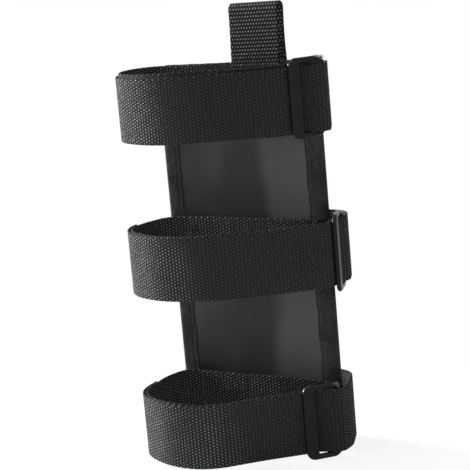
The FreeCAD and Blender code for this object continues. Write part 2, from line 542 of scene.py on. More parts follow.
@dataclass(frozen=True)
class BindingFinish:
    """Fine ribbed binding tape, duller and darker than the webbing."""

    dark: float = 0.002
    light: float = 0.036
    ridge: float = 0.061
    rib_pitch: float = 0.75
    weft_pitch: float = 1.05

    def material(self, groups: Groups) -> bpy.types.Material:
        """Builds the material.

        Args:
            groups: the shared shader groups.

        Returns:
            The material.
        """
        surface = Surface("binding tape", 0.9, Sheen_Weight=0.05, Sheen_Roughness=0.5,
                          Specular_IOR_Level=0.04)
        nodes = surface.nodes
        fibres = surface.fibres(groups, 0.4, self.dark, self.light)
        warp = nodes.math("SINE", nodes.times(nodes.measure("along"), math.tau / self.rib_pitch))
        weft = nodes.math("SINE", nodes.times(nodes.measure("across"), math.tau / self.weft_pitch))
        ribs = nodes.times(warp, weft)
        surface.feed("Base Color", nodes.blend(nodes.ramp(ribs, -0.6, 0.9, 0.0, 0.35), fibres["Color"],
                                               grey(self.ridge)))
        surface.bump(nodes.plus(nodes.times(ribs, 0.5), fibres["Height"]), 0.16)
        return surface.material


@dataclass(frozen=True)
class VinylFinish:
    """Satin vinyl over the board, clouded at random, with a painted highlight on its right half and a darker
    band up the middle.
    """

    dark: float = 0.024
    light: float = 0.062
    clouded: tuple[float, float] = (0.39, 0.64)
    roughness: tuple[float, float] = (0.42, 0.6)

    def material(self, groups: Groups) -> bpy.types.Material:
        """Builds the material.

        Args:
            groups: the shared shader groups; not used.

        Returns:
            The material.
        """
        surface = Surface("vinyl cover", 0.5, Specular_IOR_Level=0.15)
        nodes = surface.nodes
        clouds = nodes.noise(surface.place, 14.0, 3.0, 0.45)
        streaks = nodes.add("ShaderNodeMapping", {"Vector": surface.place, "Scale": (1.0, 1.0, 0.35)})
        soft = nodes.noise(streaks.outputs[0], 26.0, 2.0, 0.4)
        # The right half is paler, a painted highlight, and a darker band runs up the middle.
        side = nodes.add("ShaderNodeSeparateXYZ", {"Vector": surface.place}).outputs["X"]
        off_middle = nodes.math("ABSOLUTE", nodes.math("SUBTRACT", side, 0.002))
        right_highlight = nodes.ramp(side, 0.0, 0.05, -0.05, 0.2)
        highlight_and_band = nodes.plus(right_highlight, nodes.ramp(off_middle, 0.0, 0.03, -0.12, 0.0))
        clouds_and_highlight = nodes.plus(highlight_and_band, nodes.times(clouds, 0.6), nodes.times(soft, 0.4))
        mask = nodes.ramp(clouds_and_highlight, *self.clouded)
        surface.feed("Base Color", nodes.blend(mask, grey(self.dark), grey(self.light)))
        cells = {"Vector": surface.place, "Scale": 1500.0}
        grain = nodes.add("ShaderNodeTexVoronoi", cells, feature="SMOOTH_F1")
        pores = nodes.noise(surface.place, 3200.0, 2.0)
        dull = nodes.plus(mask, nodes.times(pores, 0.3))
        surface.feed("Roughness", nodes.ramp(dull, 0.0, 1.3, *self.roughness))
        surface.bump(nodes.plus(grain.outputs["Distance"], nodes.times(pores, 0.4)), 0.045, 0.6)
        return surface.material


@dataclass(frozen=True)
class MouldedFinish:
    """Glossy black moulded plastic with fine scuffs."""

    base: float = 0.007
    worn: float = 0.022
    gloss: float = 0.24
    dull: float = 0.46

    def material(self, groups: Groups) -> bpy.types.Material:
        """Builds the material.

        Args:
            groups: the shared shader groups; not used.

        Returns:
            The material.
        """
        surface = Surface("moulded ring", self.gloss, Specular_IOR_Level=0.12)
        nodes = surface.nodes
        scuffs = nodes.add("ShaderNodeMapping", {"Vector": surface.place, "Scale": (1.0, 1.0, 0.12)})
        marks = nodes.ramp(nodes.noise(scuffs.outputs[0], 900.0, 4.0, 0.7), 0.58, 0.75)
        swirl = nodes.noise(surface.place, 160.0, 3.0)
        colour = nodes.blend(nodes.times(marks, 0.5), grey(self.base, 0.35), grey(self.worn, 0.25))
        surface.feed("Base Color", colour)
        scuffed = nodes.plus(marks, nodes.times(swirl, 0.6))
        surface.feed("Roughness", nodes.ramp(scuffed, 0.1, 1.4, self.gloss, self.dull))
        surface.bump(nodes.plus(swirl, nodes.times(marks, 0.3)), 0.05, 0.5)
        return surface.material


@dataclass(frozen=True)
class ThreadFinish:
    """Sewing thread or a loose fibre."""

    name: str
    dark: float
    light: float

    def material(self, groups: Groups) -> bpy.types.Material:
        """Builds the material.

        Args:
            groups: the shared shader groups.

        Returns:
            The material.
        """
        surface = Surface(self.name, 0.6, Sheen_Weight=0.2, Specular_IOR_Level=0.5)
        fibres = surface.fibres(groups, 1.6, self.dark, self.light)
        surface.feed("Base Color", fibres["Color"])
        surface.bump(fibres["Height"], 0.06)
        return surface.material


@dataclass(frozen=True)
class BoardFinish:
    """The stiff board inside the pad."""

    dark: float = 0.05
    light: float = 0.08

    def material(self, groups: Groups) -> bpy.types.Material:
        """Builds the material.

        Args:
            groups: the shared shader groups.

        Returns:
            The material.
        """
        surface = Surface("board", 0.7)
        fibres = surface.fibres(groups, 0.3, self.dark, self.light)
        surface.feed("Base Color", fibres["Color"])
        surface.bump(fibres["Height"], 0.05)
        return surface.material


@dataclass
class Palette:
    """Every material, built once."""

    groups: Groups = field(default_factory=Groups)

    def __post_init__(self) -> None:
        """Builds the materials from the finishes."""
        self.webbing = WebbingFinish().material(self.groups)
        self.binding = BindingFinish().material(self.groups)
        self.vinyl = VinylFinish().material(self.groups)
        self.ring = MouldedFinish().material(self.groups)
        self.thread = ThreadFinish("sewing thread", 0.012, 0.045).material(self.groups)
        self.fray = ThreadFinish("frayed fibre", 0.05, 0.3).material(self.groups)
        self.pile = ThreadFinish("tape pile", 0.008, 0.03).material(self.groups)
        self.board = BoardFinish().material(self.groups)


# Geometry node trees
class Recipe:
    """A geometry node tree with named inputs, set on a modifier by their identifiers."""

    def __init__(self, name: str, **inputs: float | int) -> None:
        """Makes the tree and its sockets.

        Args:
            name: the tree's name.
            inputs: the inputs' values by name, with _ for a space; a whole number makes a whole input.
        """
        self.tree = bpy.data.node_groups.new(name, "GeometryNodeTree")
        interface = self.tree.interface
        interface.new_socket("Geometry", in_out="INPUT", socket_type="NodeSocketGeometry")
        interface.new_socket("Geometry", in_out="OUTPUT", socket_type="NodeSocketGeometry")
        self.keys: dict[str, str] = {}
        for label, value in inputs.items():
            kind = "NodeSocketInt" if isinstance(value, int) else "NodeSocketFloat"
            socket = interface.new_socket(label.replace("_", " "), in_out="INPUT", socket_type=kind)
            socket.default_value = value
            self.keys[label] = socket.identifier
        socket = interface.new_socket("Material", in_out="INPUT", socket_type="NodeSocketMaterial")
        self.keys["Material"] = socket.identifier
        self.nodes = Nodes(self.tree)
        self.given = self.nodes.add("NodeGroupInput").outputs
        self.result = self.nodes.add("NodeGroupOutput")

    def close(self, geometry: Socket) -> None:
        """Ends the tree in Realize Instances and Set Material.

        Args:
            geometry: what the tree has made.
        """
        real = self.nodes.add("GeometryNodeRealizeInstances", {"Geometry": geometry}).outputs[0]
        values = {"Geometry": real, "Material": self.given["Material"]}
        self.nodes.feed(self.result.inputs[0], self.nodes.add("GeometryNodeSetMaterial", values).outputs[0])

    def measure(self, name: str, kind: str = "FLOAT") -> Socket:
        """A named attribute of the geometry."""
        return self.nodes.add("GeometryNodeInputNamedAttribute", {"Name": name}, data_type=kind).outputs[0]

    def points_on_lines(self, step: Socket) -> Socket:
        """The source's lines, with evenly spaced points.

        Args:
            step: how far apart the points are.

        Returns:
            The curves.
        """
        curve = self.nodes.add("GeometryNodeMeshToCurve", {"Mesh": self.given["Geometry"]}).outputs[0]
        values = {"Curve": curve, "Length": step}
        return self.nodes.add("GeometryNodeResampleCurve", values, mode="LENGTH").outputs[0]

    def turned(self, rotation: Socket, euler: Socket) -> Socket:
        """Turns a rotation further about its own axes.

        Args:
            rotation: the rotation.
            euler: the angles that it is turned by.

        Returns:
            The turned rotation.
        """
        further = self.nodes.add("FunctionNodeEulerToRotation", {"Euler": euler}).outputs[0]
        node = self.nodes.add("FunctionNodeRotateRotation", {"Rotation": rotation}, rotation_space="LOCAL")
        self.nodes.feed(node.inputs[1], further)
        return node.outputs[0]

    def random(self, seed: Socket, low: float, high: float) -> Socket:
        """A random number for each point.

        Args:
            seed: the seed of the draw.
            low: the least value.
            high: the greatest value.

        Returns:
            The number.
        """
        node = self.nodes.add("FunctionNodeRandomValue", {"Seed": seed}, data_type="FLOAT")
        self.nodes.feed(node.inputs[2], low)
        self.nodes.feed(node.inputs[3], high)
        return node.outputs[1]

    def make(self, source: bpy.types.Object, name: str, material: bpy.types.Material,
             **values: float | int) -> bpy.types.Object:
        """Runs the tree on an object and keeps the result as a plain mesh.

        Args:
            source: the object that the tree works on; it is removed.
            name: the finished piece's name.
            material: the material that the tree sets.
            values: input values, with _ for a space.

        Returns:
            The finished piece.
        """
        modifier = source.modifiers.new(self.tree.name, "NODES")
        modifier.node_group = self.tree
        modifier[self.keys["Material"]] = material
        for label, value in values.items():
            modifier[self.keys[label]] = value
        graph = bpy.context.evaluated_depsgraph_get()
        mesh = bpy.data.meshes.new_from_object(source.evaluated_get(graph), depsgraph=graph)
        source.modifiers.clear()
        bpy.data.objects.remove(source)
        return new_object(name, mesh, material)


def relief_recipe() -> Recipe:
    """Raises the weave's grains on a strip, from its measures along, across and edge.

    Returns:
        The recipe.
    """
    recipe = Recipe("Woven relief", Grain_length=5.6, Grain_pitch=2.45, Depth=0.0002, Edge_depth=0.0002)
    nodes, given = recipe.nodes, recipe.given
    run, rise, edge = (recipe.measure(name) for name in ("along", "across", "edge"))
    lattice = grain_relief(nodes, run, rise, given["Grain length"], given["Grain pitch"])
    flat = nodes.times(lattice, nodes.math("SUBTRACT", 1.0, edge), given["Depth"])
    # The selvage has a bead for each half grain.
    beads = nodes.math("COSINE", nodes.times(nodes.math("DIVIDE", run, given["Grain length"]), 2 * math.tau))
    height = nodes.plus(flat, nodes.times(beads, edge, given["Edge depth"]))
    normal = nodes.add("GeometryNodeInputNormal").outputs[0]
    offset = nodes.add("ShaderNodeVectorMath", {0: normal, "Scale": height}, operation="SCALE").outputs[0]
    moved = nodes.add("GeometryNodeSetPosition", {"Geometry": given["Geometry"], "Offset": offset})
    recipe.close(moved.outputs[0])
    return recipe


def stitch_recipe() -> Recipe:
    """Lays stitches along lines that carry the direction out of their cloth.

    Returns:
        The recipe.
    """
    recipe = Recipe("Stitches", Pitch=0.003, Length=0.0023, Thread_radius=0.0003, Seed=1)
    nodes, given = recipe.nodes, recipe.given
    spaced = recipe.points_on_lines(given["Pitch"])
    bead = nodes.add("GeometryNodeMeshUVSphere", {"Segments": 8, "Rings": 5, "Radius": 1.0}).outputs[0]
    half = nodes.math("DIVIDE", given["Length"], 2.0)
    size = nodes.add("ShaderNodeCombineXYZ", {0: half, 1: given["Thread radius"], 2: given["Thread radius"]})
    stitch = nodes.add("GeometryNodeTransform", {"Geometry": bead, "Scale": size.outputs[0]}).outputs[0]
    tangent = nodes.add("GeometryNodeInputTangent").outputs[0]
    first = nodes.add("FunctionNodeAlignRotationToVector", {"Vector": tangent}, axis="X").outputs[0]
    facing = {"Rotation": first, "Vector": recipe.measure("out", "FLOAT_VECTOR")}
    second = nodes.add("FunctionNodeAlignRotationToVector", facing, axis="Z", pivot_axis="X").outputs[0]
    twist = nodes.add("ShaderNodeCombineXYZ", {2: recipe.random(given["Seed"], -0.12, 0.12)}).outputs[0]
    placed = nodes.add("GeometryNodeInstanceOnPoints", {"Points": spaced, "Instance": stitch,
                                                        "Rotation": recipe.turned(second, twist)})
    recipe.close(placed.outputs[0])
    return recipe


def fray_recipe() -> Recipe:
    """Grows short bent fibres from lines that carry the fibres' direction.

    Returns:
        The recipe.
    """
    recipe = Recipe("Frayed fibres", Spacing=0.0006, Fibre_length=0.003, Fibre_radius=0.00008,
                    Spread=0.6, Seed=1)
    nodes, given = recipe.nodes, recipe.given
    spaced = recipe.points_on_lines(given["Spacing"])
    bend = {"Resolution": 4, "Start": (0.0, 0.0, 0.0), "Middle": (0.12, 0.0, 0.55), "End": (0.5, 0.1, 0.9)}
    bent = nodes.add("GeometryNodeCurveQuadraticBezier", bend)
    thick = nodes.math("DIVIDE", given["Fibre radius"], given["Fibre length"])
    section = nodes.add("GeometryNodeCurvePrimitiveCircle", {"Resolution": 3, "Radius": thick}).outputs[0]
    fibre = nodes.add("GeometryNodeCurveToMesh", {"Curve": bent.outputs[0], "Profile Curve": section,
                                                  "Fill Caps": True}).outputs[0]
    out = recipe.measure("out", "FLOAT_VECTOR")
    upright = nodes.add("FunctionNodeAlignRotationToVector", {"Vector": out}, axis="Z").outputs[0]
    spin = nodes.add("FunctionNodeRandomValue", {"Seed": given["Seed"]}, data_type="FLOAT_VECTOR")
    back = nodes.times(given["Spread"], -1.0)
    least = nodes.add("ShaderNodeCombineXYZ", {0: back, 1: back, 2: -math.pi}).outputs[0]
    most = nodes.add("ShaderNodeCombineXYZ", {0: given["Spread"], 1: given["Spread"], 2: math.pi}).outputs[0]
    nodes.feed(spin.inputs[0], least)
    nodes.feed(spin.inputs[1], most)
    share = recipe.random(nodes.plus(given["Seed"], 7.0), 0.35, 1.0)
    placed = nodes.add("GeometryNodeInstanceOnPoints", {"Points": spaced, "Instance": fibre,
                                                        "Rotation": recipe.turned(upright, spin.outputs[0]),
                                                        "Scale": nodes.times(share, given["Fibre length"])})
    recipe.close(placed.outputs[0])
    return recipe


class Recipes:
    """The geometry node trees, each built once."""

    def __init__(self) -> None:
        """Builds the trees."""
        self.relief = relief_recipe()
        self.stitches = stitch_recipe()
        self.fray = fray_recipe()


# Meshes
def new_object(name: str, mesh: bpy.types.Mesh, material: bpy.types.Material) -> bpy.types.Object:
    """An object of the scene with one material and smooth faces.

    Args:
        name: the object's and the mesh's name.
        mesh: its mesh.
        material: its only material.

    Returns:
        The object.
    """
    piece = bpy.data.objects.new(name, mesh)
    bpy.context.collection.objects.link(piece)
    mesh.name = name
    mesh.materials.clear()
    mesh.materials.append(material)
    mesh.polygons.foreach_set("use_smooth", [True] * len(mesh.polygons))
    mesh.update()
    return piece


def mesh_from(name: str, points: np.ndarray, faces: list, measures: dict[str, np.ndarray]) -> bpy.types.Mesh:
    """A mesh from points in millimetres.

    Args:
        name: the mesh's name.
        points: one row of three numbers for each vertex.
        faces: lists of vertex numbers.
        measures: attribute names with a number for each vertex.

    Returns:
        The mesh, in metres.
    """
    mesh = bpy.data.meshes.new(name)
    mesh.from_pydata((points * MM).tolist(), [], faces)
    for label, values in measures.items():
        mesh.attributes.new(label, "FLOAT", "POINT").data.foreach_set("value", values.astype(np.float32))
    return mesh


def line_object(name: str, places: list[Vector], edges: list[tuple[int, int]],
                outs: list[Vector]) -> bpy.types.Object:
    """An object of bare lines that carry a direction at each point.

    Args:
        name: the object's name.
        places: its points, in millimetres.
        edges: pairs of point numbers.
        outs: the direction at each point.

    Returns:
        The object, for a recipe to work on.
    """
    mesh = bpy.data.meshes.new(name)
    mesh.from_pydata([spot * MM for spot in places], edges, [])
    attribute = mesh.attributes.new("out", "FLOAT_VECTOR", "POINT")
    attribute.data.foreach_set("vector", [value for out in outs for value in out])
    source = bpy.data.objects.new(name, mesh)
    bpy.context.collection.objects.link(source)
    return source


def place(piece: bpy.types.Object, body: Body, slot: Slot, *stands_for: str) -> None:
    """Puts a finished piece on its body.

    Args:
        piece: the piece.
        body: the body that it rides on.
        slot: its material slot; not used.
        stands_for: the nodes that it replaces.
    """
    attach(piece, body.value)
    if stands_for:
        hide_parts(*stands_for)
    log.info("%s: %d faces on %s", piece.name, len(piece.data.polygons), body.value)


def box_stitch(near: float, far: float, width: float, margin: float = 3.0) -> list[list[tuple[float, float]]]:
    """The lines of a box seam with a cross in it.

    Args:
        near: the distance along the strip where the box starts.
        far: where it ends.
        width: the strip's width.
        margin: how far the box stays from the strip's edges.

    Returns:
        Polylines of (distance, height) pairs.
    """
    low, high = margin, width - margin
    return [[(near, low), (far, low), (far, high), (near, high), (near, low), (far, high)],
            [(near, high), (far, low)]]


@dataclass
class Strip:
    """A band of cloth on a line, with both faces, rounded edges and closed ends.

    A pinch is a place along the line where a seam draws the cloth in. The band sways by wave,
    once in each wave_length.
    """

    line: Line
    low: float
    width: float
    thickness: float
    plane: Plane = Plane.PLAN
    along_step: float = 1.4
    across_step: float = 0.6125
    pinches: tuple[float, ...] = ()
    pinch_reach: float = 1.5
    pinch_share: float = 0.45
    wave: float = 0.35
    wave_length: float = 97.0
    edge_round: float = 0.7

    def spot(self, distance: float, across: float, out: float) -> Vector:
        """A point of the strip.

        Args:
            distance: how far along the line.
            across: how far up from the lower edge.
            out: how far to the right of the line.

        Returns:
            The point, in millimetres.
        """
        middle, direction = self.line.at(distance)
        flat = middle + right_of(direction) * out
        sway = self.wave * math.sin(math.tau * distance / self.wave_length + self.low)
        drawn = (flat.x, flat.y, self.low + across + sway)
        return Vector(drawn[axis] for axis in self.plane.value)

    def out_at(self, distance: float, side: Side) -> Vector:
        """The direction out of a face.

        Args:
            distance: how far along the line.
            side: the face.

        Returns:
            The unit direction.
        """
        _, direction = self.line.at(distance)
        out = right_of(direction) * side.value
        drawn = (out.x, out.y, 0.0)
        return Vector(drawn[axis] for axis in self.plane.value)

    def half_at(self, distance: float) -> float:
        """Half the thickness, less where a seam draws it in."""
        dents = (math.exp(-((distance - seam) / self.pinch_reach) ** 2) for seam in self.pinches)
        return self.thickness / 2 * (1.0 - self.pinch_share * max(dents, default=0.0))

    def section(self) -> list[tuple[float, float, float]]:
        """The strip's outline across: one face, three points round the top edge, and back down.

        Returns:
            For each point its share of the half thickness, its height, and how much it is edge.
        """
        flat = self.width - 2 * self.edge_round
        count = max(2, round(flat / self.across_step))
        heights = [self.edge_round + flat * index / count for index in range(count + 1)]
        bends = [math.radians(angle) for angle in (45, 90, 135)]
        top = self.width - self.edge_round
        up = [(math.cos(bend), top + self.edge_round * math.sin(bend), 1.0) for bend in bends]
        down = [(-math.cos(bend), self.edge_round - self.edge_round * math.sin(bend), 1.0) for bend in bends]
        right = [(1.0, high, 0.0) for high in heights]
        left = [(-1.0, high, 0.0) for high in reversed(heights)]
        return right + up + left + down

    def mesh(self, name: str) -> bpy.types.Mesh:
        """The closed mesh.

        Args:
            name: the mesh's name.

        Returns:
            The mesh, with its measures along, across and edge.
        """
        section = self.section()
        distances = self.line.stations(self.along_step)
        around = len(section)
        points = np.empty((len(distances) * around, 3))
        for row, distance in enumerate(distances):
            half = self.half_at(distance)
            low = self.spot(distance, 0.0, 0.0)
            rise = self.spot(distance, 1.0, 0.0) - low
            out = self.out_at(distance, Side.RIGHT)
            shares = np.array([(part[0] * half, part[1]) for part in section])
            points[row * around:(row + 1) * around] = (np.array(low) + shares[:, :1] * np.array(out)
                                                       + shares[:, 1:] * np.array(rise))
        faces = []
        for row in range(len(distances) - 1):
            base = row * around
            for index in range(around):
                after = (index + 1) % around
                faces.append((base + index, base + around + index, base + around + after, base + after))
        faces += self._caps(around, (len(distances) - 1) * around)
        measures = {
            "along": np.repeat(np.array(distances), around),
            "across": np.tile(np.array([part[1] for part in section]), len(distances)),
            "edge": np.tile(np.array([part[2] for part in section]), len(distances)),
        }
        return mesh_from(name, points, faces, measures)

    def _caps(self, around: int, last: int) -> list[tuple[int, ...]]:
        """The faces that close both ends.

        Args:
            around: how many points a section has.
            last: the number of the last section's first point.

        Returns:
            The faces, as vertex numbers.
        """
        count = (around - 6) // 2
        pairs = [(index, around - 4 - index) for index in range(count)]
        faces = [(right, next_right, next_left, left)
                 for (right, left), (next_right, next_left) in zip(pairs, pairs[1:])]
        top = tuple(range(count - 1, count + 4))
        bottom = tuple(range(around - 4, around)) + (0,)
        faces += [top, bottom]
        return faces + [tuple(last + index for index in reversed(face)) for face in faces]

    def seam(self, name: str, lines: list[list[tuple[float, float]]], side: Side,
             lift: float = 0.0, out: Vector | None = None) -> bpy.types.Object:
        """An object of seam lines on a face, for the stitch and fray recipes.

        Args:
            name: the object's name.
            lines: polylines of (distance, height) pairs.
            side: the face that they lie on.
            lift: how far they stand off the face.
            out: the direction that they carry, where it isn't the one out of the face.

        Returns:
            The object.
        """
        points, edges = [], []
        for line in lines:
            first = len(points)
            for (s0, v0), (s1, v1) in zip(line, line[1:]):
                count = max(1, round(math.hypot(s1 - s0, v1 - v0) / 2.0))
                shares = [step / count for step in range(count)]
                points += [(s0 + (s1 - s0) * share, v0 + (v1 - v0) * share) for share in shares]
            points.append(line[-1])
            edges += [(index, index + 1) for index in range(first, len(points) - 1)]
        places = [self.spot(distance, across, side.value * (self.half_at(distance) + lift))
                  for distance, across in points]
        outs = [out or self.out_at(distance, side) for distance, _ in points]
        return line_object(name, places, edges, outs)


@dataclass(frozen=True)
class Fibres:
    """Loose fibres: how far apart, long and thick they are, and how far they lean."""

    spacing: float
    length: float
    radius: float
    spread: float


@dataclass
class Workshop:
    """The materials and recipes that every sub-assembly is made with."""

    palette: Palette
    recipes: Recipes
    weave_depth: float = 0.13
    selvage_depth: float = 0.12
    thread_radius: float = 0.3

    def weave(self, strip: Strip, name: str) -> bpy.types.Object:
        """Raises the weave on a strip.

        Args:
            strip: the plain strip.
            name: the finished piece's name.

        Returns:
            The finished piece.
        """
        source = bpy.data.objects.new(name + "_flat", strip.mesh(name + "_flat"))
        bpy.context.collection.objects.link(source)
        return self.recipes.relief.make(source, name, self.palette.webbing, Depth=self.weave_depth * MM,
                                        Edge_depth=self.selvage_depth * MM)

    def stitch(self, source: bpy.types.Object, name: str, seed: int, pitch: float = 2.6,
               length: float = 2.2) -> bpy.types.Object:
        """Sews along the lines of an object.

        Args:
            source: the object with the lines; it is removed.
            name: the finished piece's name.
            seed: the stitches' seed.
            pitch: from one stitch to the next, in millimetres.
            length: a stitch's length.

        Returns:
            The finished stitches.
        """
        return self.recipes.stitches.make(source, name, self.palette.thread, Pitch=pitch * MM,
                                          Length=length * MM, Thread_radius=self.thread_radius * MM,
                                          Seed=seed)

    def fray(self, source: bpy.types.Object, name: str, yarn: bpy.types.Material, fibres: Fibres,
             seed: int) -> bpy.types.Object:
        """Grows fibres from the lines of an object.

        Args:
            source: the object with the lines; it is removed.
            name: the finished piece's name.
            yarn: the fibres' material.
            fibres: what they are like, in millimetres.
            seed: the fibres' seed.

        Returns:
            The finished fibres.
        """
        return self.recipes.fray.make(source, name, yarn, Spacing=fibres.spacing * MM,
                                      Fibre_length=fibres.length * MM, Fibre_radius=fibres.radius * MM,
                                      Spread=fibres.spread, Seed=seed)


# Sizes
@dataclass(frozen=True)
class PadSizes:
    """The pad's sizes, as in the solids."""

    width: float = 144.0
    height: float = 305.0
    core_half: float = 2.5
    binding: float = 0.8
    lap: float = 15.0
    corner: float = 8.0

    @property
    def half(self) -> float:
        """Half the whole thickness."""
        return self.core_half + self.binding


@dataclass(frozen=True)
class WebSizes:
    """Sizes of the webbing, tapes and rings, close to the solids'.

    The wide bar and the rings' spacing are as the photograph shows them. The cross bar is the
    solid's, and gives the ring's outer height together with the window's play.
    """

    width: float = 50.0
    thickness: float = 1.5
    layer_gap: float = 0.15
    strap_inset: float = 6.0
    tape: float = 0.5
    tape_gap: float = 0.1
    tape_margin: float = 2.0
    loop_tape: tuple[float, float] = (9.0, 38.0)
    hook_tape: tuple[float, float] = (16.0, 27.0)
    past_tape: tuple[float, float] = (3.0, 60.0)
    ring_spacing: float = 21.85
    ring_thickness: float = 4.0
    ring_play: float = 0.3
    bar_play: float = 0.6
    wide_bar: float = 10.0
    round_bar: float = 4.0
    cross_bar: float = 3.0
    ring_corner: float = 7.0
    window_corner: float = 1.2
    window_play: float = 2.0
    bar_lead: float = 5.75
    under_bar_reach: float = 7.0
    crossing_end: float = 2.0
    past_bar: float = 3.0
    approach_radius: float = 9.0
    crossing_radius: float = 6.0
    lap_reach: float = 7.0
    free_end_back: float = 13.0
    back_seam: tuple[float, float, float] = (-36.0, 26.0, 12.0)
    front_seams: tuple[float, float, float] = (60.0, -10.0, -54.0)
    double_seam: float = 3.0
    seam_margin: float = 2.0
    fray_margin: float = 0.5

    @property
    def layer_step(self) -> float:
        """From the middle of one layer to the next."""
        return self.thickness + self.layer_gap

    @property
    def under_bar(self) -> float:
        """The sewn strap's place under the wide bar."""
        return -(self.ring_thickness / 2 + self.ring_play + self.thickness / 2 + self.layer_step)

    @property
    def wrap_radius(self) -> float:
        """The lap's radius round the round bar."""
        return self.round_bar / 2 + self.bar_play + self.thickness / 2

    @property
    def loop_face(self) -> float:
        """The loop tape's inner face, from the sewn strap's middle."""
        return self.thickness / 2 + self.tape_gap

    @property
    def hook_face(self) -> float:
        """The hook tape's inner face, from the sewn strap's middle."""
        return self.loop_face + self.tape + self.tape_gap

    @property
    def tail_shift(self) -> float:
        """The closing strap's middle, from the sewn strap's."""
        return self.hook_face + self.tape + self.tape_gap + self.thickness / 2


PAD = PadSizes()
WEB = WebSizes()
BASE_LINE = -PAD.half - WEB.thickness / 2
BACK_LINE = PAD.half + WEB.thickness / 2
STITCH_LIFT = 0.05
CUT_END = Fibres(0.25, 3.0, 0.1, 0.7)
LAP_END = Fibres(0.25, 1.6, 0.1, 0.7)
TAPE_FUZZ = Fibres(0.6, 1.5, 0.09, 0.5)
RING_TUFT = Fibres(0.07, 4.2, 0.16, 0.5)


